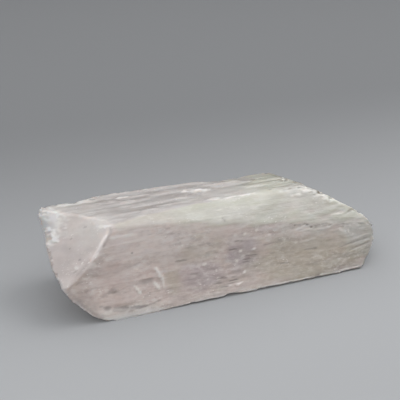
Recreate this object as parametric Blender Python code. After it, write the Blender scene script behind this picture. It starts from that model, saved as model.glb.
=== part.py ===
"""A danburite crystal lying on one of its prism faces.

It is one grown piece. Its long axis runs along X, its front is towards -Y, and it rests on a flat
face at Z = 0. The walls of the prism are built from long, shallow growth steps. The left end is a
chisel: one broad sloping face over an undercut. The right end is broken off on a slant. Chips,
a slot and small pits are cut into that body. Lengths are in metres.
"""

import math
import random

import bmesh
import bpy
from mathutils import Matrix, Vector

# The prism, before its ends are cut.
PRISM_LEFT = -0.0470
PRISM_RIGHT = 0.0385
TOP_HEIGHT = 0.0201
FRONT_LEAN = math.radians(18.5)  # of the front face, back from upright
BULGE_HEIGHT = 0.0088  # of the back's furthest point
BULGE_DEPTH = 0.0246
FOOT_DEPTH = 0.0226  # the resting face's back edge

# Edges that change along the crystal: pairs of X and height, or of X and depth.
FRONT_TOP = [(-0.0300, 0.0194), (-0.0180, 0.0187), (0.0, 0.0156), (0.0200, 0.0121), (0.0355, 0.0101)]
SHOULDER = [(-0.0290, 0.0088), (-0.0150, 0.0107)]
TOP_BACK = [(-0.0320, 0.0216), (-0.0304, 0.0229), (-0.0050, 0.0225), (0.0023, 0.0212), (0.0090, 0.0221)]

# Growth steps on each wall: how many lie side by side, and how deep they go.
WALLS = {
    "front": (13, 0.00013),
    "bevel": (6, 0.00012),
    "top": (9, 0.00038),
    "upper_back": (5, 0.00042),
    "lower_back": (4, 0.00042),
    "foot": (1, 0.0),
}
STEP_ENDS = 22  # places along the crystal where growth steps may begin or end
SHORTEST_TAPER = 0.0002  # of a growth step, where it runs out
LONGEST_TAPER = 0.0016
END_SHIFT = 0.0009  # how far a growth step may run past one of those places
SIDE_SLOPE = 0.00012  # the width of the slope along a growth step's side
CHANGE_CHANCE = 0.42
SEED = 11
MERGE = 1e-6  # points closer to a cutting plane than this lie on it

# Planes that cut the prism: a point on each, and the way it faces.
LEFT_END = {
    "side": ((-0.0438, 0.0176, 0.0187), (-0.929, 0.184, -0.322)),
    "low_side": ((-0.0432, 0.0076, 0.0111), (-0.848, 0.085, -0.524)),
    "back_corner": ((-0.0427, 0.0210, 0.0200), (-0.938, 0.334, 0.090)),
    "upper_undercut": ((-0.0419, 0.0028, 0.0085), (-0.800, 0.092, -0.592)),
    "undercut": ((-0.0397, 0.0018, 0.0054), (-0.695, 0.034, -0.718)),
    "lower_undercut": ((-0.0360, 0.0006, 0.0017), (-0.453, -0.118, -0.884)),
    "heel": ((-0.0338, 0.0002, 0.0005), (-0.209, -0.179, -0.961)),
}
RIGHT_END = {
    "upper_slant": ((0.0150, 0.0199, 0.0200), (0.440, 0.224, 0.870)),
    "slant": ((0.0249, 0.0090, 0.0178), (0.558, 0.238, 0.795)),
    "lower_slant": ((0.0293, 0.0071, 0.0153), (0.608, 0.191, 0.771)),
    "corner": ((0.0338, 0.0050, 0.0122), (0.795, 0.059, 0.604)),
    "side": ((0.0355, 0.0034, 0.0101), (0.946, -0.313, 0.090)),
    "undercut": ((0.0355, 0.0020, 0.0062), (0.841, -0.442, -0.312)),
    "lower_undercut": ((0.0337, 0.0010, 0.0029), (0.684, -0.489, -0.541)),
}

# Hollows in the front face: their outline as X and height, the points of their floor, and its depth.
FRONT_HOLLOWS = {
    "slot": (
        [(-0.0342, 0.0028), (-0.0318, 0.0034), (-0.0270, 0.0029), (-0.0210, 0.0024),
         (-0.0265, 0.0017), (-0.0314, 0.0021)],
        [(-0.0316, 0.0028), (-0.0268, 0.0023)], 0.0008,
    ),
    "oval_pit": (
        [(-0.0326, 0.0061), (-0.0316, 0.0069), (-0.0298, 0.0071), (-0.0297, 0.0062), (-0.0313, 0.0058)],
        [(-0.0312, 0.0064)], 0.0005,
    ),
    "ledge_groove": (
        [(0.0131, 0.0118), (0.0200, 0.0120), (0.0275, 0.0117), (0.0266, 0.0111), (0.0195, 0.0111),
         (0.0138, 0.0113)],
        [(0.0165, 0.0115), (0.0246, 0.0114)], 0.00045,
    ),
    "edge_pit": (
        [(0.0120, 0.0134), (0.0134, 0.0137), (0.0144, 0.0129), (0.0128, 0.0128)],
        [(0.0132, 0.0132)], 0.0005,
    ),
    "small_edge_pit": (
        [(0.0164, 0.0128), (0.0175, 0.0130), (0.0177, 0.0124), (0.0167, 0.0123)],
        [(0.0171, 0.0126)], 0.0004,
    ),
    "wedge_chip": (
        [(0.0264, 0.0105), (0.0285, 0.0107), (0.0292, 0.0080), (0.0279, 0.0080)],
        [(0.0283, 0.0095)], 0.0006,
    ),
    "upper_end_groove": (
        [(0.0292, 0.0070), (0.0370, 0.0079), (0.0370, 0.0068), (0.0310, 0.0065)],
        [(0.0370, 0.0074), (0.0318, 0.0068)], 0.0004,
    ),
    "lower_end_groove": (
        [(0.0272, 0.0048), (0.0370, 0.0058), (0.0370, 0.0049), (0.0300, 0.0044)],
        [(0.0370, 0.0054), (0.0308, 0.0047)], 0.0003,
    ),
    "cleft": (
        [(-0.0213, 0.0096), (-0.0201, 0.0086), (-0.0199, 0.0036), (-0.0206, 0.0044)],
        [(-0.0204, 0.0066)], 0.0005,
    ),
    "low_scar": (
        [(-0.0078, 0.0049), (-0.0020, 0.0053), (-0.0014, 0.0047), (-0.0072, 0.0041)],
        [(-0.0066, 0.0044), (-0.0024, 0.0049)], 0.0004,
    ),
    "lowest_scar": (
        [(-0.0076, 0.0030), (-0.0012, 0.0030), (-0.0008, 0.0024), (-0.0068, 0.0023)],
        [(-0.0064, 0.0026), (-0.0020, 0.0027)], 0.0004,
    ),
    "middle_scar": (
        [(0.0000, 0.0089), (0.0032, 0.0092), (0.0034, 0.0086), (0.0004, 0.0082)],
        [(0.0006, 0.0085), (0.0028, 0.0088)], 0.0004,
    ),
}
HOLLOW_RIM = 0.00008  # how far a hollow's cutter stands out of the face

# Round hollows: the middle of the floor, the way it faces, its radius of curvature, and its reach.
DISHES = {
    "chisel": ((-0.0371, 0.0104, 0.0150), (-0.517, -0.510, 0.687), 0.0400, 0.0160),
    "left_corner": ((-0.0413, 0.0158, 0.0160), (-0.640, -0.460, 0.615), 0.0074, 0.0052),
}
DISH_RINGS = 6
DISH_SPOKES = 30
DISH_HEIGHT = 0.0120  # how far a dish's cutter stands out

# Corners of the solids that break away a chip.
CHIPS = {
    "left_notch": [
        (-0.0416, 0.0131, 0.0137), (-0.0440, 0.0118, 0.0160), (-0.0460, 0.0145, 0.0150),
        (-0.0460, 0.0108, 0.0130), (-0.0460, 0.0130, 0.0110),
    ],
    "top_gouge": [
        (-0.0108, 0.0144, 0.0200), (-0.0070, 0.0181, 0.0195), (-0.0050, 0.0158, 0.0193),
        (-0.0051, 0.0119, 0.0195), (-0.0108, 0.0144, 0.0210), (-0.0070, 0.0185, 0.0210),
        (-0.0046, 0.0160, 0.0210), (-0.0049, 0.0115, 0.0210),
    ],
    "back_nick": [
        (0.0008, 0.0230, 0.0210), (0.0040, 0.0230, 0.0210), (0.0022, 0.0202, 0.0201),
        (0.0030, 0.0240, 0.0180),
    ],
    "foot_nick": [
        (-0.0070, -0.0010, -0.0010), (-0.0032, -0.0010, -0.0010), (-0.0052, 0.0006, -0.0010),
        (-0.0048, -0.0006, 0.0006), (-0.0060, -0.0006, 0.0005),
    ],
}


def clear_scene():
    for obj in list(bpy.data.objects):
        bpy.data.objects.remove(obj)


def read_edge(edge, x):
    """The value that an edge's pairs give at x, level before the first pair and after the last."""
    if x <= edge[0][0]:
        return edge[0][1]
    for (start, low), (end, high) in zip(edge, edge[1:]):
        if x <= end:
            return low + (high - low) * (x - start) / (end - start)
    return edge[-1][1]


def section(x):
    """Corners (y, z) of the cross-section at x. The wall after each corner is the next in WALLS."""
    front_top = read_edge(FRONT_TOP, x)
    return [
        Vector((0.0, 0.0)),
        Vector((front_top * math.tan(FRONT_LEAN), front_top)),
        Vector((read_edge(SHOULDER, x), TOP_HEIGHT)),
        Vector((read_edge(TOP_BACK, x), TOP_HEIGHT)),
        Vector((BULGE_DEPTH, BULGE_HEIGHT)),
        Vector((FOOT_DEPTH, 0.0)),
    ]


class GrowthStep:
    """A long narrow terrace on one wall, at a depth that changes a few times along the crystal."""

    def __init__(self, draw, start, end, deepest):
        self.start = start
        self.end = end
        self.depths = [deepest * draw.random()]
        for _ in range(STEP_ENDS):
            changes = draw.random() < CHANGE_CHANCE
            self.depths.append(deepest * draw.random() if changes else self.depths[-1])
        self.shifts = [draw.uniform(-END_SHIFT, END_SHIFT) for _ in range(STEP_ENDS)]
        self.tapers = [draw.uniform(SHORTEST_TAPER, LONGEST_TAPER) for _ in range(STEP_ENDS)]

    def ring_position(self, number):
        """X of ring `number`. Rings stand in pairs, one on each side of a place where steps end."""
        if number == 0:
            return PRISM_LEFT
        if number == 2 * STEP_ENDS + 1:
            return PRISM_RIGHT
        place, after = divmod(number - 1, 2)
        spacing = (PRISM_RIGHT - PRISM_LEFT) / (STEP_ENDS + 1)
        centre = PRISM_LEFT + spacing * (place + 1) + self.shifts[place]
        return centre + (after - 0.5) * self.tapers[place]

    def depth(self, number):
        return self.depths[number // 2]


def growth_steps():
    """The growth steps of each wall, in order round the prism."""
    draw = random.Random(SEED)
    walls = []
    for count, deepest in WALLS.values():
        bounds = [0.0] + [(i + draw.uniform(-0.3, 0.3)) / count for i in range(1, count)] + [1.0]
        walls.append([GrowthStep(draw, low, high, deepest) for low, high in zip(bounds, bounds[1:])])
    return walls


def wall_frame(corners, wall):
    """Where a wall starts, its width, the direction across it and the direction into the crystal."""
    start = corners[wall]
    end = corners[(wall + 1) % len(corners)]
    along = (end - start).normalized()
    return start, (end - start).length, along, Vector((along.y, -along.x))


def ring_points(walls, number):
    """The points of one ring: two for each growth step, and one at each corner."""
    points = []
    for wall, steps in enumerate(walls):
        for step in steps:
            x = step.ring_position(number)
            corners = section(x)
            start, width, along, inward = wall_frame(corners, wall)
            sunk = start + inward * step.depth(number)
            if step is steps[0]:
                inward_before = wall_frame(corners, wall - 1)[3]
                low = sunk + inward_before * walls[wall - 1][-1].depth(number)
                low.y = max(low.y, 0.0)
            else:
                low = sunk + along * (width * step.start + SIDE_SLOPE / 2)
            points.append((x, low.x, low.y))
            if step is not steps[-1]:
                high = sunk + along * (width * step.end - SIDE_SLOPE / 2)
                points.append((x, high.x, high.y))
    return points


def build_prism():
    walls = growth_steps()
    bm = bmesh.new()
    rings = [[bm.verts.new(p) for p in ring_points(walls, n)] for n in range(2 * STEP_ENDS + 2)]
    for ring, following in zip(rings, rings[1:]):
        for number in range(len(ring)):
            bm.faces.new((ring[number - 1], ring[number], following[number], following[number - 1]))
    bm.faces.new(rings[0])
    bm.faces.new(rings[-1])
    bmesh.ops.recalc_face_normals(bm, faces=bm.faces)
    return bm


def cut_by_plane(bm, point, facing):
    """Takes off what lies on the facing side of a plane, and closes the cut with one flat face."""
    everything = bm.verts[:] + bm.edges[:] + bm.faces[:]
    cut = bmesh.ops.bisect_plane(
        bm, geom=everything, dist=MERGE, plane_co=point, plane_no=facing, clear_outer=True
    )
    rim = [part for part in cut["geom_cut"] if isinstance(part, bmesh.types.BMEdge)]
    bmesh.ops.holes_fill(bm, edges=rim, sides=0)


def build_body():
    bm = build_prism()
    for point, facing in list(LEFT_END.values()) + list(RIGHT_END.values()):
        cut_by_plane(bm, Vector(point), Vector(facing).normalized())
    bmesh.ops.recalc_face_normals(bm, faces=bm.faces)
    mesh = bpy.data.meshes.new("danburite_crystal")
    bm.to_mesh(mesh)
    bm.free()
    return mesh


def on_front(x, height, outward):
    """The point of the front face at x and height, moved outward."""
    y = height * math.tan(FRONT_LEAN) - outward * math.cos(FRONT_LEAN)
    return Vector((x, y, height + outward * math.sin(FRONT_LEAN)))


def cutter(name, points):
    """A closed solid over points that is cut out of the crystal, and isn't shown itself."""
    bm = bmesh.new()
    for point in points:
        bm.verts.new(point)
    bmesh.ops.convex_hull(bm, input=bm.verts)
    bmesh.ops.recalc_face_normals(bm, faces=bm.faces)
    mesh = bpy.data.meshes.new(name)
    bm.to_mesh(mesh)
    bm.free()
    obj = bpy.data.objects.new(name, mesh)
    obj.hide_render = True
    obj.display_type = "WIRE"
    bpy.context.scene.collection.objects.link(obj)
    return obj


def dish_points(middle, facing, curvature, reach):
    """Points on a shallow bowl, and above its rim."""
    middle = Vector(middle)
    axis = Vector(facing).normalized()
    aside = axis.orthogonal().normalized()
    points = [middle]
    for ring in range(1, DISH_RINGS + 1):
        distance = reach * ring / DISH_RINGS
        rise = curvature - math.sqrt(curvature ** 2 - distance ** 2)
        for spoke in range(DISH_SPOKES):
            turn = Matrix.Rotation(math.tau * (spoke + ring % 2 / 2) / DISH_SPOKES, 3, axis)
            points.append(middle + axis * rise + turn @ aside * distance)
    points += [point + axis * DISH_HEIGHT for point in points[-DISH_SPOKES:]]
    return points


def cutters():
    result = []
    for name, (outline, floor, depth) in FRONT_HOLLOWS.items():
        points = [on_front(x, z, HOLLOW_RIM) for x, z in outline]
        points += [on_front(x, z, -depth) for x, z in floor]
        result.append(cutter("cut_" + name, points))
    for name, dish in DISHES.items():
        result.append(cutter("cut_" + name, dish_points(*dish)))
    for name, points in CHIPS.items():
        result.append(cutter("cut_" + name, points))
    return result


def cut_out(obj, tools):
    for tool in tools:
        boolean = obj.modifiers.new(tool.name, "BOOLEAN")
        boolean.object = tool
        boolean.operation = "DIFFERENCE"
        boolean.solver = "EXACT"


def crystal_material():
    material = bpy.data.materials.new("pale pink crystal")
    material.use_nodes = True
    shader = material.node_tree.nodes["Principled BSDF"]
    shader.inputs["Base Color"].default_value = (0.52, 0.46, 0.43, 1.0)
    shader.inputs["Roughness"].default_value = 0.28
    shader.inputs["Metallic"].default_value = 0.0
    return material


def bottom_centre(obj):
    """The middle of the underside of an object's box, with its modifiers applied."""
    shape = obj.evaluated_get(bpy.context.evaluated_depsgraph_get()).to_mesh()
    low = [min(vert.co[axis] for vert in shape.vertices) for axis in range(3)]
    high = [max(vert.co[axis] for vert in shape.vertices) for axis in range(3)]
    return Vector(((low[0] + high[0]) / 2, (low[1] + high[1]) / 2, low[2]))


def main():
    clear_scene()
    mesh = build_body()
    mesh.materials.append(crystal_material())
    crystal = bpy.data.objects.new("danburite_crystal", mesh)
    bpy.context.scene.collection.objects.link(crystal)
    tools = cutters()
    cut_out(crystal, tools)
    to_origin = Matrix.Translation(-bottom_centre(crystal))
    for obj in [crystal] + tools:
        obj.data.transform(to_origin)


main()
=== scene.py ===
import math

import bmesh
import bpy
import numpy as np
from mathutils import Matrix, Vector, noise


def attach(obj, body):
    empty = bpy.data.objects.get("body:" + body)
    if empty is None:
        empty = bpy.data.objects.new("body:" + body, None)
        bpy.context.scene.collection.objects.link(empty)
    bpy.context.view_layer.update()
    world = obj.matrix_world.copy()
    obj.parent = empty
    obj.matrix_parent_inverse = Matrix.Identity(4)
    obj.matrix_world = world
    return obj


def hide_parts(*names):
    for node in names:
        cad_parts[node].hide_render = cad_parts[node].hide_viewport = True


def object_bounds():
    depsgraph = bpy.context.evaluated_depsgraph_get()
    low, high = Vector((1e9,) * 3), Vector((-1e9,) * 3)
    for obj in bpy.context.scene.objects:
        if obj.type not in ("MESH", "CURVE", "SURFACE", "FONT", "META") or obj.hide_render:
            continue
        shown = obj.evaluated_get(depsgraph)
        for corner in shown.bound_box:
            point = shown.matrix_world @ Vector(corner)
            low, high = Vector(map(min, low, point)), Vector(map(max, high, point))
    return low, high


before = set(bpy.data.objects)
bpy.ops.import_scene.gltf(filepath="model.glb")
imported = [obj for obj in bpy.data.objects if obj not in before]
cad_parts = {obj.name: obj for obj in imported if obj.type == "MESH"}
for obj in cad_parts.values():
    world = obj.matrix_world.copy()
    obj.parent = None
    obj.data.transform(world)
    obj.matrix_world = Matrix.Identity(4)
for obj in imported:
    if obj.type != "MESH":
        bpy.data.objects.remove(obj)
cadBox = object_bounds()
mm = 0.001

# Places are along, back and up from the middle of the base. A pair of limits such as (0.2, 0.5)
# says where something starts and where it is full.


def tone(red, green, blue):
    # a display colour, 0 to 255, as the linear colour that a shader takes
    linear = []
    for level in (red, green, blue):
        share = level / 255
        linear.append(share / 12.92 if share < 0.04045 else ((share + 0.055) / 1.055) ** 2.4)
    return (*linear, 1.0)


def smooth(value, low, high):
    # 0 below low, 1 above high, with soft ends
    share = np.clip((value - low) / (high - low), 0.0, 1.0)
    return share * share * (3.0 - 2.0 * share)


def hump(value):
    # 0 where the value is 0 or 1, and 1 halfway
    return 4 * value * (1 - value)


def chance(places, grain):
    # smooth random values from -1 to 1, with grains of that size in mm along each axis
    wide, deep, tall = grain
    return np.array([noise.noise(Vector((x / wide, y / deep, z / tall))) for x, y, z in places / mm])


def unit(vectors):
    return vectors / np.linalg.norm(vectors, axis=1)[:, None]


skin = {
    "node": "danburite_crystal",
    "joined": 0.001 * mm,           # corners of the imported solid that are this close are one
    "cell": 0.24 * mm,              # surface cells across the crystal
    "stretch": 1.6,                 # cells are this much longer along it
    "clear": 0.02 * mm,             # room kept to the sides of the solid's box
    "calmRounds": 10,               # passes that even out the normals a little
    "keenRounds": 2,                # passes that keep the edges in the normals
    "wideRounds": 30,               # further passes that leave only whole faces in the normals
    "edgeRounds": 4,                # passes that round the edges between faces
    "frontRounds": 30,              # further passes on the edges round the front
    "wornRounds": 110,              # passes where the edges are worn soft
    "evenRounds": 3,                # passes that blend the ends of the growth steps
    "coreRounds": 16,               # passes that give the shape without its edges
    "edgeBend": (0.004, 0.02),      # how far the normals bend at an edge
    "frontLean": (0.38, 0.55),      # how far the edges round the front face forward
    "frontFloor": (-0.30, 0.0),     # how far up they face, which leaves the foot sharp
    "frontEnd": (26, 32),           # where along the crystal they turn sharp again, mm
    "lengthwise": (0.6, 0.9),       # how much along the crystal a link runs to be blended
    "longFaces": ("topZone", "bevelZone", "frontZone", "rearZone"),
    "wornSpots": (                  # place, reach along each axis, mm, and share
        (-27.0, -4.0, 19.5, 6.0, 6.0, 5.0, 1.0),
        (-32.0, 2.0, 19.5, 6.0, 7.0, 4.0, 0.7),
        (-30.0, -7.0, 14.5, 7.0, 7.0, 6.0, 1.0),
        (-14.0, -6.0, 17.5, 16.0, 4.5, 4.0, 1.0),
        (-14.0, -5.0, 19.0, 12.0, 5.0, 4.0, 1.0),
        (4.0, -2.0, 19.8, 13.0, 5.0, 4.0, 0.9),
        (0.0, -6.5, 15.0, 26.0, 4.0, 4.0, 0.8),
        (24.0, -4.0, 17.0, 10.0, 6.0, 6.0, 0.8),
        (-39.0, 4.5, 17.0, 3.0, 4.5, 4.0, 0.7),
        (-40.3, 7.5, 19.3, 3.0, 3.5, 3.0, 0.35),
    ),
    "spotFade": (0.55, 1.15),       # where a spot fades out, as shares of its reach
    "faces": {                      # how far each face faces its own way, and how ragged its border is
        "upward": (0.34, 0.74, 0.24),
        "left": (0.18, 0.46, 0.10),
        "right": (0.30, 0.50, 0.0),
        "top": (0.93, 0.99, 0.05),
        "foot": (0.35, 0.70, 0.0),
        "rear": (0.25, 0.45, 0.0),
        "forward": (0.10, 0.24, 0.0),
        "bevelLeft": (0.08, 0.25, 0.0),
    },
    "faceGrain": (4.0, 1.5, 1.1),   # size of the ragged borders' grain, mm
    "bevelFrom": (-20, -6),         # where along the crystal the bevel gets its full share, mm
    "bevelLeast": 0.6,              # its share before that
}


def makeCells():
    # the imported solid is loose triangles, so its copy is joined up first, and then it is
    # shortened, because voxels are cubes and the cells are to come out long
    work = bmesh.new()
    work.from_mesh(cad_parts[skin["node"]].data)
    bmesh.ops.remove_doubles(work, verts=work.verts, dist=skin["joined"])
    bmesh.ops.scale(work, verts=work.verts, vec=(1 / skin["stretch"], 1, 1))
    mesh = bpy.data.meshes.new("crystalDraft")
    work.to_mesh(mesh)
    work.free()
    draft = bpy.data.objects.new("crystalDraft", mesh)
    bpy.context.scene.collection.objects.link(draft)
    cells = draft.modifiers.new("cells", "REMESH")
    cells.mode = "VOXEL"
    cells.voxel_size = skin["cell"]
    cells.use_smooth_shade = True
    graph = bpy.context.evaluated_depsgraph_get()
    dense = bpy.data.meshes.new_from_object(draft.evaluated_get(graph))
    bpy.data.objects.remove(draft)
    dense.name = "crystalSkin"
    places = placesOf(dense)
    places[:, 0] *= skin["stretch"]
    setPlaces(dense, places)
    return dense


def placesOf(mesh):
    flat = np.empty(len(mesh.vertices) * 3)
    mesh.vertices.foreach_get("co", flat)
    return flat.reshape(-1, 3)


def setPlaces(mesh, places):
    mesh.vertices.foreach_set("co", places.ravel())
    mesh.update()


def linksOf(mesh):
    flat = np.empty(len(mesh.edges) * 2, dtype=np.int64)
    mesh.edges.foreach_get("vertices", flat)
    return flat.reshape(-1, 2)


def normalsOf(mesh):
    flat = np.empty(len(mesh.vertices) * 3)
    mesh.vertex_normals.foreach_get("vector", flat)
    return flat.reshape(-1, 3)


def onLinks(values, links):
    # the lesser of the values at the two ends of each link
    return np.minimum(values[links[:, 0]], values[links[:, 1]])


def blended(values, links, rounds, weights=None):
    # each point takes the mean of itself and its neighbours, weighted by link
    if weights is None:
        weights = np.ones(len(links))
    start, end = links[:, 0], links[:, 1]
    count = len(values)
    total = 1.0 + np.bincount(start, weights, count) + np.bincount(end, weights, count)
    for _ in range(rounds):
        summed = values.copy()
        for axis in range(values.shape[1]):
            summed[:, axis] += np.bincount(start, weights * values[end, axis], count)
            summed[:, axis] += np.bincount(end, weights * values[start, axis], count)
        values = summed / total[:, None]
    return values


def spotShare(places, spots, waver=0.0):
    # how far each point lies within the spots, which fade out from their middles
    share = np.zeros(len(places))
    for x, y, z, reachX, reachY, reachZ, full in spots:
        offset = (places / mm - (x, y, z)) / (reachX, reachY, reachZ)
        distance = np.linalg.norm(offset, axis=1) + waver
        np.maximum(share, full * (1 - smooth(distance, *skin["spotFade"])), out=share)
    return share


def roundEdges(places, links, calm, keen):
    # all edges are rounded a little, those round the front more, and the worn spots most
    bend = 1 - np.sum(keen * calm, axis=1)
    edgeLink = smooth(onLinks(bend, links), *skin["edgeBend"])
    places = blended(places, links, skin["edgeRounds"], edgeLink)
    frontEdge = smooth(-calm[:, 1], *skin["frontLean"])
    frontEdge *= 1 - smooth(places[:, 0] / mm, *skin["frontEnd"])
    frontEdge *= smooth(calm[:, 2], *skin["frontFloor"])
    frontLink = edgeLink * onLinks(frontEdge, links)
    places = blended(places, links, skin["frontRounds"], frontLink)
    wornAndLit = spotShare(places, skin["wornSpots"])[:, None]
    places += wornAndLit * (blended(places, links, skin["wornRounds"]) - places)
    return places, frontEdge


def blendSteps(places, links, zones):
    # on the long faces, the ends of the growth steps are blended along the crystal
    longFace = np.clip(sum(zones[zone] for zone in skin["longFaces"]), 0, 1)
    gap = places[links[:, 1]] - places[links[:, 0]]
    lengthwise = np.abs(gap[:, 0]) / (np.linalg.norm(gap, axis=1) + 1e-9)
    weights = onLinks(longFace, links) * smooth(lengthwise, *skin["lengthwise"])
    return blended(places, links, skin["evenRounds"], weights)


def zonesOf(places, around):
    # soft shares of each face of the crystal, from normals that show only whole faces
    ragged = chance(places, skin["faceGrain"])
    along, back, level = around.T

    def share(face, facing):
        low, high, rough = skin["faces"][face]
        return smooth(facing + rough * ragged, low, high)

    upward = share("upward", level)
    leftEnd = share("left", -along)
    rightEnd = share("right", along)
    side = (1 - leftEnd) * (1 - rightEnd)
    top = share("top", level) * side
    foot = share("foot", -level)
    rear = share("rear", back) * (1 - foot) * side
    forward = share("forward", -back) * side * (1 - foot)
    front = forward * (1 - upward)
    bevel = forward * upward * (1 - top) * (1 - share("bevelLeft", -along))
    least = skin["bevelLeast"]
    bevel *= least + (1 - least) * smooth(places[:, 0] / mm, *skin["bevelFrom"])
    return {"topZone": top, "bevelZone": bevel, "frontZone": front, "leftZone": leftEnd,
            "rightZone": rightEnd, "rearZone": rear, "footZone": foot}


relief = {
    "stray": (0.7, 22.0),           # how far growth lines wander, over what length, mm
    "strayAcross": 0.15,            # how much that differs from line to line
    "ledges": (                     # length, spacing, levels and depth of each set of ledges, mm
        (30.0, 0.9, 5, 0.22),
        (12.0, 0.5, 3, 0.12),
    ),
    "lines": (10.0, 0.45, 0.09),    # length, spacing and depth of the finest lines, mm
    "quickRise": 3.5,               # how steep a ledge is against its step
    "swell": (8.0, 0.22),           # size and depth of the broad unevenness, mm
    "frontLength": 0.35,            # how long the growth lines are on the front, as a share
    "shares": {"topZone": 0.30, "bevelZone": 0.12, "frontZone": 0.34, "rearZone": 0.9,
               "leftZone": 0.05, "rightZone": 0.80},
    "rightGain": 1.2,               # how much rougher the sides get towards the right end
    "rightFrom": (22, 34),          # where that starts and is full, mm along
    "topCalm": 0.6,                 # how much calmer the top gets to the right
    "topFrom": (3, 12),             # where that starts and is full, mm along
    "chips": (1.6, 0.30),           # size and depth of the chips along the edges, mm
    "rightChips": (1.6, 1.2),       # the same for the edges at the right end
    "crestChips": (1.3, 0.8),       # the same for the crests at the right end and the back left
    "footChips": (1.6, 0.5),        # the same for the edge that the front stands on
    "fineBite": (2.3, 0.45),        # how much finer and weaker the small bites in a chip are
    "leastShare": 0.01,             # shares below this get no growth lines
    "leastEdge": 0.02,              # and below this no chips
    "edges": {
        "rimProud": (0.05 * mm, 0.35 * mm),     # how proud of the core the edges stand
        "crestProud": (0.01 * mm, 0.06 * mm),   # the same along the crests
        "crestUp": (0.25, 0.45),        # how far up the crests face
        "rightFrom": (14, 22),          # where the right end's edges start, mm along
        "rightCrestFrom": (12, 20),     # where the right end's crest starts, mm along
        "backCrestFrom": (16, 24),      # where the back left crest starts, mm to the left
        "backCrestBack": (3, 6),        # and mm back
        "backCrestShare": 0.7,
        "footForward": (0.25, 0.50),    # how far forward the foot's edge faces
        "footDown": (0.25, 0.50),       # and how far down
    },
    "foot": {
        "lift": 0.4,                    # how high the front's foot stands off the floor, mm
        "biteLength": 4.0,              # length of the bites in it, mm
        "bites": 0.6,                   # how much they change the lift
        "nickFrom": (-3.2, -2.2),       # where a deeper nick starts, mm along
        "nickTo": (-1.2, 0.6),          # and where it ends
        "nick": 0.8,                    # how much higher it is
        "from": (-24, -4),              # where the lift starts and is full, mm along
        "forward": (7.0, 11.0),         # the same, mm forward
        "height": (0.2, 3.2),           # where it starts to fade and ends, mm up
    },
    "markWidth": 0.16,              # half width of the thinnest mark, mm
    "markFade": (0.50, 1.15),       # where a mark fades out, as shares of its size
    "markGrain": (1.2, 0.6, 0.6),   # size of the grain that makes its outline ragged, mm
    "markRagged": 0.6,
    "cornerFrom": (35.5, 37.5),     # where the left corner starts, mm to the left
}


def ledge(value, levels):
    # a value from -1 to 1 as flat levels with a quick rise between them
    level = (value + 1) / 2 * levels
    step = math.floor(level)
    return (step + min(1.0, relief["quickRise"] * (level - step))) / levels


def growthDepth(x, y, z, front):
    strayed, over = relief["stray"]
    across = relief["strayAcross"]
    stray = strayed * noise.noise(Vector((x / over, across * y, across * z)))
    x /= 1 - (1 - relief["frontLength"]) * front
    depth = 0.0
    for length, spacing, levels, height in relief["ledges"]:
        spot = Vector((x / length, (y + stray) / spacing, (z + stray) / spacing))
        depth += height * ledge(noise.noise(spot), levels)
    length, spacing, height = relief["lines"]
    spot = Vector((x / length, (y + stray) / spacing, (z + stray) / spacing))
    return depth + height * abs(noise.noise(spot))


def growthRelief(places, zones):
    along = places[:, 0] / mm
    share = sum(relief["shares"][zone] * zones[zone] for zone in relief["shares"])
    share *= (1 - zones["footZone"]) * (1 + relief["rightGain"] * smooth(along, *relief["rightFrom"]))
    share *= 1 - relief["topCalm"] * zones["topZone"] * smooth(along, *relief["topFrom"])
    size, swell = relief["swell"]
    depth = np.zeros(len(places))
    for index, (x, y, z) in enumerate(places / mm):
        if share[index] > relief["leastShare"]:
            broad = swell * (1 + noise.noise(Vector((x, 2 * y, 2 * z)) / size))
            depth[index] = share[index] * (growthDepth(x, y, z, zones["frontZone"][index]) + broad)
    return depth


def edgeChips(places, share, size, height):
    finer, weaker = relief["fineBite"]
    depth = np.zeros(len(places))
    for index in np.nonzero(share > relief["leastEdge"])[0]:
        spot = Vector(places[index] / mm / size)
        bite = max(0.0, noise.noise(spot) + weaker * noise.noise(finer * spot))
        depth[index] = height * share[index] * bite
    return depth


def edgesOf(places, links, calm, around, zones):
    # shares of each kind of edge, and of each kind of chip
    edges = relief["edges"]
    core = blended(places, links, skin["coreRounds"])
    proud = np.sum((places - core) * calm, axis=1)
    along, back = places[:, 0] / mm, places[:, 1] / mm
    rim = smooth(proud, *edges["rimProud"])
    upward = smooth(around[:, 2], *edges["crestUp"])
    rightCrest = smooth(along, *edges["rightCrestFrom"]) * upward
    backCrest = smooth(-along, *edges["backCrestFrom"]) * smooth(back, *edges["backCrestBack"]) * upward
    crests = rightCrest + edges["backCrestShare"] * backCrest
    foot = smooth(-calm[:, 1], *edges["footForward"]) * smooth(-calm[:, 2], *edges["footDown"])
    offFoot = 1 - zones["footZone"]
    return {"rim": rim, "rightCrest": rightCrest,
            "chips": rim * offFoot,
            "rightChips": rim * offFoot * smooth(along, *edges["rightFrom"]),
            "crestChips": smooth(proud, *edges["crestProud"]) * crests,
            "footChips": rim * foot}


def footLift(places):
    # the front's lower edge is broken away underneath, so it casts a dark line on the floor
    foot = relief["foot"]
    x, y, z = places.T / mm
    bites = np.array([noise.noise(Vector((across / foot["biteLength"], 0.3, 0.7))) for across in x])
    nick = smooth(x, *foot["nickFrom"]) * (1 - smooth(x, *foot["nickTo"]))
    lift = foot["lift"] * mm * (1 + foot["bites"] * bites + foot["nick"] * nick)
    lift *= smooth(x, *foot["from"])
    return lift * smooth(-y, *foot["forward"]) * (1 - smooth(z, *foot["height"]))
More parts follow.
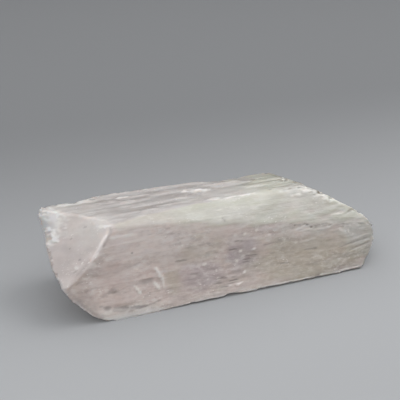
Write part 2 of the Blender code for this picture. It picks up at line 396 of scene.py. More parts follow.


# Single marks on each face: place on the face in mm, half length, half width, turn in degrees,
# depth in mm (below 0 stands proud) and light: above 0 pale marks and painted glints and reflections,
# below 0 dark stains and painted shade.
# The front is measured along and up, the top along and back, the left end back and up.
marks = {
    "front": (
        (-17.9, 8.2, 1.45, 0.50, -66, -0.22, 1.0),    # cleavage flashes, a leaning V, painted as the light their planes reflect
        (-18.7, 5.7, 1.30, 0.40, -60, -0.18, 1.0),
        (-17.2, 6.6, 1.90, 0.34, -88, -0.10, 1.0),
        (-22.6, 5.0, 0.60, 0.50, -60, -0.15, 1.0),    # painted star glint and its tail
        (-23.1, 5.8, 1.1, 0.28, -55, -0.08, 1.0),
        (-32.3, 7.3, 0.7, 0.28, 10, 0.05, 0.5),
        (-30.2, 2.9, 1.6, 0.60, -20, 0.10, -0.65),    # shade inside the long slot
        (-27.3, 2.1, 2.7, 0.48, -8, 0.05, -0.8),
        (-22.7, 1.85, 3.2, 0.32, 0, 0.0, -0.8),
        (-19.5, 2.2, 1.7, 0.22, 10, 0.0, -0.6),
        (-28.7, 6.3, 1.3, 0.55, 5, 0.04, -0.45),      # oval pit
        (-20.8, 7.0, 1.9, 0.55, 0, 0.08, -0.5),
        (-7.2, 8.2, 0.7, 0.35, 0, -0.08, 0.8),
        (-8.6, 8.2, 1.0, 0.20, 0, -0.03, 0.35),
        (5.3, 9.6, 0.55, 0.34, 0, -0.12, 1.0),        # painted glints round the mauve patch
        (2.3, 4.9, 0.60, 0.34, 35, -0.12, 1.0),
        (0.8, 2.5, 1.0, 0.25, 8, -0.12, 1.0),
        (0.4, 2.3, 0.5, 0.34, 0, -0.15, 1.0),
        (-1.5, 2.2, 0.7, 0.22, 0, -0.08, 0.7),
        (-4.1, 4.5, 0.45, 0.32, 0, -0.10, 0.8),
        (-4.4, 6.4, 0.32, 0.35, 0, -0.08, 0.7),
        (1.9, 9.6, 0.40, 0.32, 0, -0.10, 0.9),
        (0.8, 7.6, 0.40, 0.35, 0, -0.08, 0.8),
        (1.0, 13.2, 0.45, 0.32, 0, -0.06, 0.6),
        (3.3, 13.0, 0.5, 0.35, 30, -0.08, 0.8),
        (6.3, 13.4, 0.45, 0.26, 10, -0.08, 0.8),
        (3.7, 14.8, 1.1, 0.22, 10, -0.05, 0.6),
        (-5.4, 15.2, 1.1, 0.18, -35, 0.05, 0.5),
        (-5.9, 14.8, 1.0, 0.16, 50, 0.05, 0.4),
        (4.3, 8.3, 1.7, 0.17, -4, 0.05, -0.8),        # dark dashes in and round the patch
        (3.4, 7.5, 1.6, 0.20, -5, 0.06, -0.8),
        (2.8, 7.0, 1.2, 0.17, -3, 0.05, -0.6),
        (0.3, 10.2, 1.3, 0.17, -5, 0.04, -0.7),
        (1.9, 11.8, 1.4, 0.17, -5, 0.04, -0.6),
        (8.6, 10.0, 1.4, 0.17, -4, 0.05, -0.6),
        (9.2, 7.9, 1.3, 0.17, -2, 0.05, -0.5),
        (-3.0, 4.4, 1.8, 0.18, -2, 0.05, -0.9),
        (-4.1, 3.4, 1.3, 0.18, -5, 0.05, -0.7),
        (-0.2, 3.5, 1.7, 0.18, 0, 0.05, -0.9),
        (-2.8, 2.3, 1.4, 0.18, -4, 0.05, -0.8),
        (-1.2, 2.9, 1.3, 0.17, -3, 0.05, -0.7),
        (-0.8, 4.3, 1.2, 0.17, -4, 0.05, -0.6),
        (-9.5, 6.5, 1.3, 0.24, -3, 0.08, -0.5),
        (-12.5, 9.8, 1.6, 0.24, -3, 0.08, -0.5),
        (12.5, 5.0, 1.5, 0.22, -3, 0.08, -0.5),
        (20.0, 7.0, 2.0, 0.22, -2, 0.08, -0.5),
        (-10.2, 1.2, 1.2, 0.20, 2, -0.05, 0.5),
        (-22.8, 10.3, 1.2, 0.5, 8, -0.05, 0.35),
        (-32.2, 12.2, 1.3, 0.6, -20, -0.04, 0.45),
        (-24.5, 17.0, 4.5, 0.35, 1, -0.05, 0.45),     # pale pink streaks under the top edge
        (-22.5, 15.7, 3.6, 0.30, 2, -0.05, 0.40),
        (9.6, 11.7, 0.6, 0.8, 0, -0.04, 0.45),
        (16.1, 9.1, 0.5, 0.35, 0, -0.05, 0.7),
        (19.0, 9.2, 2.4, 0.30, 4, -0.05, 0.5),
        (27.1, 3.2, 0.8, 0.45, 30, -0.04, 0.5),
        (18.5, 11.5, 2.6, 0.20, 3, -0.10, 0.7),       # ledge by the right of the top edge
        (17.5, 12.4, 2.0, 0.55, 5, 0.18, 0.25),
        (30.4, 9.6, 1.5, 0.22, -58, -0.12, 0.9),      # chipped V near the right end
        (31.5, 8.4, 0.7, 0.25, 35, -0.08, 0.8),
        (29.2, 10.2, 1.1, 0.7, -20, 0.22, 0.2),
        (-23.3, 13.4, 0.22, 0.20, 0, 0.1, -1.0),      # specks
        (19.7, 12.6, 0.45, 0.22, 0, 0.15, -1.0),
        (15.3, 13.4, 0.50, 0.20, 0, 0.12, -0.8),
        (16.4, 13.0, 0.25, 0.20, 0, 0.12, -0.8),
        (20.6, 11.9, 0.35, 0.20, 0, 0.12, -0.8),
        (25.6, 11.6, 0.50, 0.18, 0, 0.12, -0.6),
        (32.0, 6.6, 4.0, 0.22, 8, 0.16, -0.25),        # ridges at the right end
        (33.0, 5.4, 3.4, 0.22, 9, 0.14, -0.2),
        (33.5, 7.6, 3.0, 0.25, 8, -0.10, 0.3),
        (31.5, 4.2, 3.0, 0.20, 9, -0.08, 0.3),
    ),
    "top": (
        (-21.3, 7.7, 1.8, 0.45, 4, -0.10, 0.9),
        (-15.0, 10.2, 1.0, 0.5, -30, -0.08, 0.6),
        (-6.3, 5.6, 0.8, 0.8, 20, -0.12, 0.9),
        (-3.4, 5.3, 1.6, 0.55, -5, -0.12, 0.9),
        (-1.9, 4.6, 1.1, 0.45, -8, -0.10, 0.7),
        (-1.6, -0.3, 2.2, 0.75, 2, -0.08, 0.7),       # bright crest between top and bevel
        (2.6, -0.8, 2.4, 0.40, 3, -0.10, 0.9),
        (6.4, -0.9, 2.6, 0.45, 1, -0.10, 0.9),
        (-19.6, -3.0, 1.3, 0.5, 12, -0.05, 0.35),
        (-17.9, -4.0, 0.8, 0.4, -30, -0.05, 0.35),
        (11.7, 6.5, 0.6, 0.3, 0, 0.12, -0.8),
        (13.8, 6.3, 0.5, 0.4, 0, 0.12, -0.8),
        (13.0, -0.4, 0.7, 0.25, 0, 0.12, -0.5),
        (-27.9, 8.9, 1.0, 0.35, 0, 0.12, -0.7),
        (-1.7, -3.8, 1.6, 0.20, 8, -0.05, 0.35),
        (-1.2, -5.7, 0.8, 0.22, -55, 0.06, -0.5),
        (17.7, -2.9, 0.5, 0.3, 0, -0.05, 0.5),
        (19.3, -2.9, 0.8, 0.3, 0, -0.05, 0.5),
        (22.2, -2.4, 1.6, 0.5, 0, -0.10, 0.5),
        (26.2, -3.8, 1.6, 0.5, -10, -0.06, 0.3),
        (32.0, -6.3, 0.9, 0.25, 20, 0.10, -0.4),
        (1.8, -4.3, 6.5, 1.7, 3, 0.0, -0.13),         # a duller patch on the bevel
    ),
    "left": (
        (4.8, 17.2, 3.8, 2.6, 60, -0.10, 0.95),       # the corner chip, painted pale partly as the highlight it catches, the bruise in it and its painted glint
        (4.2, 15.9, 0.7, 0.8, 0, -0.45, 1.0),
        (5.5, 17.6, 0.8, 0.9, 30, -0.12, 0.9),
        (2.6, 15.6, 1.1, 0.45, 50, -0.15, 1.0),
        (1.6, 15.1, 1.0, 0.40, 20, -0.15, 0.9),
        (2.2, 15.2, 1.8, 0.9, 40, -0.05, 0.8),
        (-4.0, 19.0, 0.6, 0.3, 0, 0.0, 1.0),
        (-3.2, 18.8, 0.7, 0.3, 10, 0.05, 0.7),
        (-2.1, 14.0, 0.20, 0.20, 0, 0.06, -0.7),
        (-5.5, 12.8, 0.20, 0.20, 0, 0.06, -0.7),
        (-0.6, 15.6, 0.20, 0.20, 0, 0.04, -0.4),
        (-7.1, 11.0, 0.20, 0.30, 0, 0.04, -0.4),
        (-6.5, 11.6, 0.5, 0.35, 0, -0.05, 0.5),
        (-0.9, 18.1, 0.3, 0.2, 0, 0.04, -0.4),
        (0.5, 17.3, 3.0, 1.8, -20, 0.0, 0.2),         # a paler patch beside the chip
    ),
}
faceAxes = {"front": (0, 2), "top": (0, 1), "left": (1, 2)}


def addMarks(places, zones, depth, paleAndGlint, stainAndShade):
    corner = smooth(-places[:, 0] / mm, *relief["cornerFrom"])
    facing = {"front": zones["frontZone"], "top": zones["topZone"] + zones["bevelZone"],
              "left": zones["leftZone"] + corner}
    ragged = chance(places, relief["markGrain"])
    for face, rows in marks.items():
        across, upward = faceAxes[face]
        for first, second, length, width, turn, cut, light in rows:
            along = places[:, across] / mm - first
            rise = places[:, upward] / mm - second
            angle = math.radians(turn)
            width = max(width, relief["markWidth"])
            ahead = (along * math.cos(angle) + rise * math.sin(angle)) / length
            beside = (rise * math.cos(angle) - along * math.sin(angle)) / width
            away = np.hypot(ahead, beside) + relief["markRagged"] * ragged
            shape = (1 - smooth(away, *relief["markFade"])) * np.clip(facing[face], 0, 1)
            depth += cut * shape
            # above 0, light paints pale marks and painted glints and reflections
            np.maximum(paleAndGlint, light * shape, out=paleAndGlint)
            # below 0, light paints dark stains and painted shade, such as the shade inside the long
            # slot
            np.maximum(stainAndShade, -light * shape, out=stainAndShade)


# Broad tints inside the crystal: place, reach along each axis, mm, and share. The deep tint is partly
# painted shade where the bevel's border, the rounded left edge and the right crest catch the lamps, and
# the milk tint is partly painted light on the corner chip and as glints on the top.
tints = {
    "beigeTint": (
        (-7.0, -8.0, 13.0, 7.0, 9.0, 4.5, 0.8),
        (-15.0, -10.0, 5.5, 2.2, 6.0, 3.2, 0.7),
        (17.0, -10.0, 5.5, 14.0, 10.0, 6.0, 1.0),
        (30.0, -9.0, 6.0, 9.0, 12.0, 6.0, 0.8),
    ),
    "mauveTint": (
        (2.5, -9.0, 9.0, 4.5, 7.0, 5.0, 0.75),
        (-8.0, -11.0, 6.0, 6.5, 7.0, 3.6, 0.6),
        (8.0, -6.0, 14.5, 5.0, 4.0, 2.2, 0.4),
    ),
    "roseTint": (
        (-24.0, -7.0, 16.5, 5.5, 5.0, 2.4, 0.9),
        (-37.0, 0.0, 12.0, 6.0, 9.0, 7.0, 0.6),
        (-27.0, -11.0, 8.0, 9.0, 7.0, 6.0, 0.4),
    ),
    "milkTintAndLight": (
        (-6.0, 1.0, 20.0, 5.0, 2.5, 2.0, 0.8),
        (3.0, 2.0, 20.0, 8.0, 5.0, 1.6, 0.6),
        (-31.0, 8.5, 20.0, 6.0, 2.5, 2.0, 1.0),
        (-25.0, -12.0, 1.2, 8.0, 3.0, 2.0, 1.0),
        (-32.0, 0.0, 19.0, 6.0, 8.0, 4.5, 0.5),
        (22.0, -4.0, 18.0, 9.0, 6.0, 4.0, 0.6),
        (36.0, -9.0, 8.0, 5.0, 6.0, 6.0, 0.6),
        (-38.5, 5.0, 17.0, 4.0, 4.5, 4.5, 1.0),
    ),
    "blushTint": (
        (-18.0, -9.0, 16.0, 18.0, 6.0, 5.0, 1.0),
        (0.0, -9.0, 15.0, 12.0, 5.0, 3.5, 0.8),
        (-18.0, -12.0, 15.0, 17.0, 6.0, 5.0, 1.0),
        (-23.0, -8.0, 15.0, 6.0, 6.0, 4.5, 0.9),
        (-6.0, -12.0, 13.5, 9.0, 6.0, 5.0, 0.9),
        (1.0, -12.0, 14.0, 10.0, 6.0, 5.0, 0.9),
    ),
    "paleTint": (
        (34.0, -8.0, 12.5, 9.0, 10.0, 6.0, 1.0),
        (22.0, -9.0, 12.5, 11.0, 6.0, 2.8, 0.8),
        (-31.0, -4.0, 17.5, 8.0, 4.0, 4.0, 0.5),
    ),
    "creamTint": (
        (16.0, 2.0, 20.0, 13.0, 9.0, 3.0, 1.0),
        (4.0, -2.0, 20.0, 9.0, 3.0, 2.0, 0.8),
        (30.0, 2.0, 16.0, 12.0, 12.0, 7.0, 1.0),
        (35.0, -9.0, 9.0, 7.0, 8.0, 8.0, 0.5),
    ),
    "deepTintAndShade": (
        (-15.0, -4.6, 18.8, 11.0, 1.8, 1.6, 0.9),
        (6.0, -5.4, 16.6, 14.0, 2.4, 2.4, 1.0),
        (22.0, 1.0, 19.0, 8.0, 7.0, 2.5, 0.6),
        (-30.0, 4.5, 20.2, 6.0, 3.5, 1.5, 0.8),
        (22.0, -7.0, 14.5, 10.0, 2.6, 2.8, 0.5),
        (20.0, -12.0, 3.0, 20.0, 6.0, 6.0, 0.9),
        (-8.0, -12.0, 3.5, 14.0, 6.0, 4.5, 0.9),
        (3.0, -10.0, 6.0, 6.0, 6.0, 6.0, 0.8),
        (-32.0, -7.0, 13.5, 4.0, 4.0, 4.0, 0.9),
        (16.0, -12.0, 9.0, 8.0, 6.0, 3.0, 0.8),
        (-37.0, -3.0, 9.0, 6.0, 6.0, 6.0, 1.0),
        (-4.0, -4.8, 17.9, 13.0, 2.6, 2.0, 0.9),
        (24.0, -2.5, 18.6, 8.0, 2.5, 2.5, 1.0),
    ),
}

finish = {
    "body": tone(218, 203, 196),
    "beige": tone(202, 193, 175),
    "mauve": tone(184, 170, 178),
    "rose": tone(212, 196, 192),
    "milk": tone(228, 225, 219),
    "blush": tone(233, 221, 216),
    "edgeWearAndSheen": tone(182, 175, 171),
    "cream": tone(193, 194, 175),
    "end": tone(212, 201, 197),
    "white": tone(250, 249, 246),
    "bruiseAndGlint": tone(255, 252, 247),
    "shade": tone(96, 84, 80),
    "transmission": 0.65,
    "ior": 1.63,
    "coat": 0.5,
    "coatRoughness": 0.12,
    "roughness": (0.32, 0.42),
    "subsurface": 1.0,
    "scatter": 2.0 * mm,
    "scatterShares": (1.0, 0.85, 0.75),
    "bumpStrength": 0.6,
    "bumpDepth": 0.08 * mm,
    "tint": tone(236, 222, 212),
    "density": 8.0,
    "washes": (             # layer, colour and share of each broad tint, in the order they go on
        ("mauveTint", "mauve", 1.0),
        ("roseTint", "rose", 0.9),
        ("beigeTint", "beige", 1.0),
        ("topZone", "edgeWearAndSheen", 1.0),
        ("creamTint", "cream", 1.0),
        ("bevelZone", "cream", 1.0),
        ("leftZone", "end", 1.0),
        ("rightZone", "cream", 0.7),
        ("milkTintAndLight", "milk", 0.8),
        ("paleTint", "milk", 0.9),
        ("blushTint", "blush", 0.9),
        ("deepTintAndShade", "shade", 0.20),
    ),
    "offBevel": ("paleTint", "blushTint"),  # tints that the bevel hardly shows
    "onBevel": 0.2,
    "leftCalm": 0.75,       # how much fainter the patterns are on the left end
    "sideBreak": (0.20, 0.80),      # how broken up the other faces are, and how much more the front is
    "driftBreak": (0.30, 0.65, 0.45, 1.25),     # how far that drifts
    "linesAll": 0.3,        # how strong the lines are on all faces
    "linesTop": 0.4,        # how much stronger they are on top
    "creamCalm": 0.6,       # how much fainter they are where it is cream
    "glintFlecks": (0.64, 0.74, 0.0, 0.8),
    "glintFleckDrift": (0.45, 0.60),     # where the drifts of painted glint flecks start and are full
    "wornAndLitPatches": (0.35, 0.60, 0.1, 0.7),
    "roughPatches": (0.35, 0.65),   # where the roughness starts to rise and is full
    "bumpGrain": 0.5,       # how much of the bump is grain, against the lines
    "patterns": {           # stretch along the crystal, size in mm, detail and place of each noise
        "streak": (14, 0.8, 5.0, (0, 0, 0)),
        "fibre": (9, 0.4, 2.0, (2, 4, 9)),
        "glintFleck": (2.2, 0.3, 1.0, (6, 3, 4)),
        "drift": (2, 5.0, 1.0, (9, 1, 3)),
        "blotch": (3.5, 1.1, 5.0, (3, 1, 5)),
        "grain": (3.5, 0.35, 2.0, (1, 7, 2)),
        "mottle": (1.8, 0.8, 4.0, (4, 8, 1)),
        "dash": (5, 0.7, 3.0, (7, 5, 3)),
    },
    "cleavage": {           # stretch and size in mm of each set of flat blocks
        "blocks": (2.4, 2.2),
        "smallBlocks": (3.0, 0.8),
    },
    "strokes": {            # pattern, where it starts and is full, share and colour, for each kind
        "cloudy": (
            ("blocks", 0.1, 0.9, 0.12, "white"),
            ("smallBlocks", 0.4, 0.9, 0.05, "shade"),
            ("blotch", 0.48, 0.72, 0.12, "white"),
            ("blotch", 0.50, 0.28, 0.06, "shade"),
            ("grain", 0.52, 0.72, 0.12, "white"),
            ("grain", 0.48, 0.28, 0.06, "shade"),
            ("fibre", 0.55, 0.72, 0.14, "white"),
            ("fibre", 0.42, 0.28, 0.10, "shade"),
        ),
        "broken": (
            ("mottle", 0.50, 0.66, 0.34, "white"),
            ("mottle", 0.48, 0.34, 0.20, "shade"),
            ("dash", 0.52, 0.68, 0.22, "white"),
            ("dash", 0.46, 0.34, 0.16, "shade"),
        ),
        "lined": (
            ("streak", 0.50, 0.70, 0.26, "white"),
            ("streak", 0.50, 0.30, 0.14, "shade"),
        ),
    },
    "tintGrain": (5.0, 3.0, 1.6),   # size of the waves in a tint's outline, mm
    "tintWaver": 0.45,
    "wearSheenAndShade": {
        "leftUp": ((0.12, 0.25), (0.60, 0.80)),     # how far left and up the left end's top edge faces
        "crestUp": ((0.08, 0.20), (0.45, 0.65)),    # how far forward and up the bevel's crest faces
        "clearFront": 0.95,             # how much less the front's edges are painted pale, as wear and as edge sheen
        "clearCrests": 0.8,             # and those crests
        "seamForward": (0.40, 0.60),    # how far forward the seam beside the left end faces
        "seamUp": (0.40, 0.70),         # how far up the seam beside the right end faces
        "turned": (0.28, 0.52),         # how far left the lit side of the left seam faces
        # how much painted shade the lit left seam and the right crest get
        "seamPaintedShade": 0.3,
        "crestPaintedShade": 0.25,
    },
}


def tintShares(places):
    # each tint fades out from its middle, with a wavering outline
    waver = finish["tintWaver"] * chance(places, finish["tintGrain"])
    return {name: spotShare(places, spots, waver) for name, spots in tints.items()}


def addLayer(mesh, name, values):
    layer = mesh.attributes.new(name, "FLOAT", "POINT")
    layer.data.foreach_set("value", np.clip(values, 0, 1).astype(np.float32))


def addLayers(mesh, places, around, zones, edgeShares, frontEdge, paleAndGlint, stainAndShade):
    wearSheenAndShade = finish["wearSheenAndShade"]
    left, forward, upward = -around[:, 0], -around[:, 1], around[:, 2]
    sideways, up = wearSheenAndShade["leftUp"]
    leftCrest = smooth(left, *sideways) * smooth(upward, *up)
    sideways, up = wearSheenAndShade["crestUp"]
    bevelCrest = smooth(forward, *sideways) * smooth(upward, *up)
    clear = np.maximum(np.maximum(leftCrest, bevelCrest), edgeShares["rightCrest"])
    # the edges are painted pale, partly as wear and partly as the sheen of light along them
    edgeWearAndSheen = edgeShares["rim"] * (1 - wearSheenAndShade["clearFront"] * frontEdge) * (1 - wearSheenAndShade["clearCrests"] * clear)

    # painted shade: the rounded edges at both ends and the chipped crest at the right end catch the
    # lamps, so their colour is darkened against that highlight
    seam = hump(zones["leftZone"]) * smooth(forward, *wearSheenAndShade["seamForward"])
    seam += hump(zones["rightZone"]) * smooth(upward, *wearSheenAndShade["seamUp"])
    lit = hump(smooth(left, *wearSheenAndShade["turned"])) * smooth(forward, *wearSheenAndShade["seamForward"])
    lit *= 1 - smooth(-places[:, 0] / mm, *relief["cornerFrom"])
    crests = edgeShares["crestChips"] * edgeShares["rightCrest"]
    stainAndShade = np.maximum(stainAndShade, np.maximum(wearSheenAndShade["seamPaintedShade"] * lit, wearSheenAndShade["crestPaintedShade"] * crests))

    layers = {**zones, "rim": edgeWearAndSheen, **tintShares(places), "paleAndGlint": paleAndGlint, "stainAndShade": stainAndShade}
    # the deep tint also takes the painted shade on the rounded edges at both ends
    layers["deepTintAndShade"] = np.maximum(layers["deepTintAndShade"], seam)
    for name, values in layers.items():
        addLayer(mesh, name, values)


class Wiring:
    # short names for the few things that a node tree is made with
    def __init__(self, material):
        material.use_nodes = True
        self.tree = material.node_tree
        self.tree.nodes.clear()

    def node(self, kind, **settings):
        made = self.tree.nodes.new(kind)
        for name, value in settings.items():
            setattr(made, name, value)
        return made

    def link(self, source, target):
        self.tree.links.new(source, target)

    def put(self, value, socket):
        if isinstance(value, bpy.types.NodeSocket):
            self.link(value, socket)
        else:
            socket.default_value = value

    def layer(self, name):
        return self.node("ShaderNodeAttribute", attribute_name=name).outputs["Fac"]

    def mix(self, share, first, second):
        made = self.node("ShaderNodeMix", data_type="RGBA")
        self.put(share, made.inputs[0])
        self.put(first, made.inputs[6])
        self.put(second, made.inputs[7])
        return made.outputs[2]

    def math(self, operation, first, second):
        made = self.node("ShaderNodeMath", operation=operation)
        self.put(first, made.inputs[0])
        self.put(second, made.inputs[1])
        return made.outputs[0]

    def times(self, first, second):
        return self.math("MULTIPLY", first, second)

    def less(self, value, share):
        # 1 less that share of the value
        return self.math("SUBTRACT", 1.0, self.times(value, share))

    def span(self, value, low, high, newLow=0.0, newHigh=1.0):
        made = self.node("ShaderNodeMapRange", interpolation_type="SMOOTHSTEP")
        self.put(value, made.inputs["Value"])
        made.inputs["From Min"].default_value = low
        made.inputs["From Max"].default_value = high
        made.inputs["To Min"].default_value = newLow
        made.inputs["To Max"].default_value = newHigh
        return made.outputs["Result"]

    def drawnOut(self, stretch, size, place=(0, 0, 0)):
        # object space in grains of that size, drawn out along the crystal
        where = self.node("ShaderNodeTexCoord")
        mapping = self.node("ShaderNodeMapping")
        mapping.inputs["Location"].default_value = place
        mapping.inputs["Scale"].default_value = [1 / (size * share) for share in (stretch, 1, 1)]
        self.link(where.outputs["Object"], mapping.inputs["Vector"])
        return mapping.outputs["Vector"]

    def blocks(self, stretch, size):
        # flat blocks of chance brightness, as cleavage planes inside show
        cells = self.node("ShaderNodeTexVoronoi", distance="CHEBYCHEV")
        cells.inputs["Scale"].default_value = 1.0
        split = self.node("ShaderNodeSeparateColor")
        self.link(self.drawnOut(stretch, size), cells.inputs["Vector"])
        self.link(cells.outputs["Color"], split.inputs["Color"])
        return split.outputs["Red"]

    def cloud(self, stretch, size, detail, place):
        grain = self.node("ShaderNodeTexNoise")
        grain.inputs["Scale"].default_value = 1.0
        grain.inputs["Detail"].default_value = detail
        self.link(self.drawnOut(stretch, size, place), grain.inputs["Vector"])
        return grain.outputs["Fac"]


def washedColour(wiring):
    colour = finish["body"]
    offBevel = wiring.span(wiring.layer("bevelZone"), 0, 1, 1, finish["onBevel"])
    for layer, name, share in finish["washes"]:
        amount = wiring.times(wiring.layer(layer), share)
        if layer in finish["offBevel"]:
            amount = wiring.times(amount, offBevel)
        colour = wiring.mix(amount, colour, finish[name])
    return colour


def strokeShares(wiring, pattern):
    # where each kind of stroke shows: fainter on the left end, and broken up most on the front
    calmLeft = wiring.less(wiring.layer("leftZone"), finish["leftCalm"])
    least, gain = finish["sideBreak"]
    broken = wiring.math("ADD", wiring.times(wiring.layer("frontZone"), gain), least)
    drifted = wiring.span(pattern["drift"], *finish["driftBreak"])
    lines = wiring.times(wiring.layer("topZone"), finish["linesTop"])
    lines = wiring.times(wiring.math("ADD", lines, finish["linesAll"]), calmLeft)
    calmCream = wiring.less(wiring.layer("creamTint"), finish["creamCalm"])
    return {"cloudy": calmLeft, "broken": wiring.times(broken, drifted),
            "lined": wiring.times(lines, calmCream)}


def crystalMaterial():
    material = bpy.data.materials.new("paleDanburite")
    wiring = Wiring(material)
    pattern = {}
    for name, (stretch, size, detail, place) in finish["patterns"].items():
        pattern[name] = wiring.cloud(stretch, size * mm, detail, place)
    for name, (stretch, size) in finish["cleavage"].items():
        pattern[name] = wiring.blocks(stretch, size * mm)
    shares = strokeShares(wiring, pattern)

    colour = washedColour(wiring)
    for kind, rows in finish["strokes"].items():
        for name, low, high, share, shown in rows:
            amount = wiring.times(wiring.span(pattern[name], low, high, 0.0, share), shares[kind])
            colour = wiring.mix(amount, colour, finish[shown])
    # painted glint flecks come in drifts, edges are painted pale in patches as wear and as edge sheen,
    # and single marks are plain: pale marks, painted glints and reflections, dark stains and painted
    # shade
    glintFlecks = wiring.times(wiring.span(pattern["glintFleck"], *finish["glintFlecks"]),
                          wiring.span(pattern["drift"], *finish["glintFleckDrift"]))
    # edges painted pale in patches, partly as wear and partly as edge sheen
    wornAndLit = wiring.times(wiring.layer("rim"), wiring.span(pattern["blotch"], *finish["wornAndLitPatches"]))
    for amount, shown in ((glintFlecks, "bruiseAndGlint"), (wornAndLit, "white"),
                          (wiring.layer("paleAndGlint"), "bruiseAndGlint"), (wiring.layer("stainAndShade"), "shade")):
        colour = wiring.mix(amount, colour, finish[shown])

    shader = wiring.node("ShaderNodeBsdfPrincipled")
    shader.inputs["Transmission Weight"].default_value = finish["transmission"]
    shader.inputs["IOR"].default_value = finish["ior"]
    shader.inputs["Coat Weight"].default_value = finish["coat"]
    shader.inputs["Coat Roughness"].default_value = finish["coatRoughness"]
    shader.inputs["Subsurface Weight"].default_value = finish["subsurface"]
    shader.inputs["Subsurface Radius"].default_value = finish["scatterShares"]
    shader.inputs["Subsurface Scale"].default_value = finish["scatter"]
    wiring.link(colour, shader.inputs["Base Color"])
    roughness = wiring.span(pattern["blotch"], *finish["roughPatches"], *finish["roughness"])
    wiring.link(roughness, shader.inputs["Roughness"])

    bump = wiring.node("ShaderNodeBump")
    bump.inputs["Strength"].default_value = finish["bumpStrength"]
    bump.inputs["Distance"].default_value = finish["bumpDepth"]
    height = wiring.math("ADD", pattern["streak"], wiring.times(pattern["grain"], finish["bumpGrain"]))
    wiring.link(wiring.times(height, shares["cloudy"]), bump.inputs["Height"])
    wiring.link(bump.outputs["Normal"], shader.inputs["Normal"])

    absorb = wiring.node("ShaderNodeVolumeAbsorption")
    absorb.inputs["Color"].default_value = finish["tint"]
    absorb.inputs["Density"].default_value = finish["density"]
    output = wiring.node("ShaderNodeOutputMaterial")
    wiring.link(shader.outputs["BSDF"], output.inputs["Surface"])
    wiring.link(absorb.outputs["Volume"], output.inputs["Volume"])
    print("material made")
    return material


def makeCrystal():
    mesh = makeCells()
    links = linksOf(mesh)
    normals = normalsOf(mesh)
    calm = unit(blended(normals, links, skin["calmRounds"]))
    keen = unit(blended(normals, links, skin["keenRounds"]))
    around = unit(blended(calm, links, skin["wideRounds"]))
    places, frontEdge = roundEdges(placesOf(mesh), links, calm, keen)
    zones = zonesOf(places, around)
    places = blendSteps(places, links, zones)
    print("edges rounded")

    edgeShares = edgesOf(places, links, calm, around, zones)
    depth = growthRelief(places, zones)
    for kind in ("chips", "rightChips", "crestChips", "footChips"):
        depth += edgeChips(places, edgeShares[kind], *relief[kind])
    paleAndGlint = np.zeros(len(places))
    stainAndShade = np.zeros(len(places))
    addMarks(places, zones, depth, paleAndGlint, stainAndShade)
    places = places - calm * (depth * mm)[:, None]
    places[:, 2] += footLift(places)
    print("growth lines, chips and marks cut")

    low, high = (np.array(corner) for corner in cadBox)
    room = skin["clear"]
    places = np.clip(places, low + (room, room, 0), high - room)
    setPlaces(mesh, places)
    addLayers(mesh, places, around, zones, edgeShares, frontEdge, paleAndGlint, stainAndShade)
    for polygon in mesh.polygons:
        polygon.use_smooth = True
    crystal = bpy.data.objects.new("crystalSkin", mesh)
    bpy.context.scene.collection.objects.link(crystal)
    print("crystal skin:", len(mesh.polygons), "faces")
    return crystal


studio = {
    "nearPaper": tone(133, 134, 135),
    "farPaper": tone(98, 99, 100),
    "shading": (-45 * mm, 130 * mm),    # painted light falloff: the paper darkens from the first place back to the second
    "paperRoughness": 0.85,
    "paperGloss": 0.2,
    "floorRadius": 0.75,
    "bend": 0.25,           # radius of the bend at the floor's rim
    "bendSteps": 12,
    "wall": 0.35,           # height of the wall above the bend
    "segments": 96,
    "world": (0.97, 0.98, 1.0, 1.0),
    "worldStrength": 1.85,
    "lamps": {              # place, size across and power of each soft lamp
        "keyLamp": ((0.95, 0.02, 0.95), 1.0, 11.5),
        "frontLamp": ((-0.72, -0.80, 0.52), 0.7, 10.5),
    },
}


def paperMaterial():
    material = bpy.data.materials.new("greyPaper")
    wiring = Wiring(material)
    shader = wiring.node("ShaderNodeBsdfPrincipled")
    where = wiring.node("ShaderNodeTexCoord")
    split = wiring.node("ShaderNodeSeparateXYZ")
    wiring.link(where.outputs["Object"], split.inputs["Vector"])
    # painted light falloff, darker towards the back
    far = wiring.span(split.outputs["Y"], *studio["shading"])
    wiring.link(wiring.mix(far, studio["nearPaper"], studio["farPaper"]), shader.inputs["Base Color"])
    shader.inputs["Roughness"].default_value = studio["paperRoughness"]
    shader.inputs["Specular IOR Level"].default_value = studio["paperGloss"]
    output = wiring.node("ShaderNodeOutputMaterial")
    wiring.link(shader.outputs["BSDF"], output.inputs["Surface"])
    return material


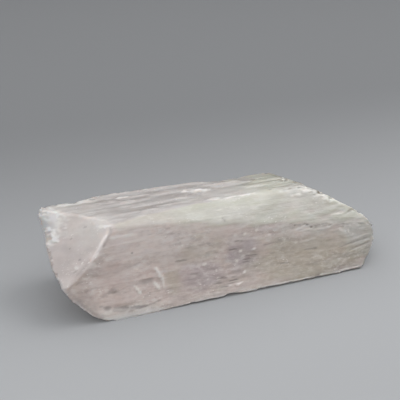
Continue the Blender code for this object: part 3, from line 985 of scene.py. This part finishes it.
def makeFloor():
    # a round floor whose rim bends up all round
    work = bmesh.new()
    radius, bend, steps = studio["floorRadius"], studio["bend"], studio["bendSteps"]
    rim = [work.verts.new((0, 0, 0)), work.verts.new((radius, 0, 0))]
    for step in range(1, steps + 1):
        angle = math.radians(90 * step / steps)
        rim.append(work.verts.new((radius + bend * math.sin(angle), 0, bend * (1 - math.cos(angle)))))
    rim.append(work.verts.new((radius + bend, 0, bend + studio["wall"])))
    rimEdges = [work.edges.new(pair) for pair in zip(rim, rim[1:])]
    bmesh.ops.spin(work, geom=rim + rimEdges, cent=(0, 0, 0), axis=(0, 0, 1), angle=math.tau,
                   steps=studio["segments"], use_merge=True)
    bmesh.ops.remove_doubles(work, verts=work.verts, dist=0.01 * mm)
    bmesh.ops.recalc_face_normals(work, faces=work.faces)
    mesh = bpy.data.meshes.new("studioFloor")
    work.to_mesh(mesh)
    work.free()
    for polygon in mesh.polygons:
        polygon.use_smooth = True
    mesh.materials.append(paperMaterial())
    floor = bpy.data.objects.new("studioFloor", mesh)
    bpy.context.scene.collection.objects.link(floor)


def makeLights():
    for name, (place, size, power) in studio["lamps"].items():
        data = bpy.data.lights.new(name, "AREA")
        data.shape = "SQUARE"
        data.size = size
        data.energy = power
        lamp = bpy.data.objects.new(name, data)
        lamp.location = place
        lamp.rotation_euler = (-Vector(place)).to_track_quat("-Z", "Y").to_euler()
        bpy.context.scene.collection.objects.link(lamp)
    world = bpy.data.worlds.new("studioAir")
    world.use_nodes = True
    backdrop = world.node_tree.nodes["Background"]
    backdrop.inputs["Color"].default_value = studio["world"]
    backdrop.inputs["Strength"].default_value = studio["worldStrength"]
    bpy.context.scene.world = world


camera = {
    "place": (-56.460 * mm, -136.734 * mm, 87.882 * mm),
    "down": 25.0,           # degrees below level
    "turn": 20.75,          # degrees to the right of straight back
    "lens": 63.0,
    "sensor": 36.0,
    "near": 0.01,
    "far": 10.0,
}


def makeCamera():
    data = bpy.data.cameras.new("viewCamera")
    data.lens = camera["lens"]
    data.sensor_width = camera["sensor"]
    data.clip_start = camera["near"]
    data.clip_end = camera["far"]
    eye = bpy.data.objects.new("viewCamera", data)
    eye.location = camera["place"]
    eye.rotation_euler = (math.radians(90 - camera["down"]), 0, math.radians(-camera["turn"]))
    bpy.context.scene.collection.objects.link(eye)
    bpy.context.scene.camera = eye


crystal = makeCrystal()
crystal.data.materials.append(crystalMaterial())
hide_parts(skin["node"])
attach(crystal, "root")
print("crystal in place")

bpy.context.scene.view_settings.view_transform = "Standard"
makeFloor()
makeLights()
makeCamera()
print("studio in place")
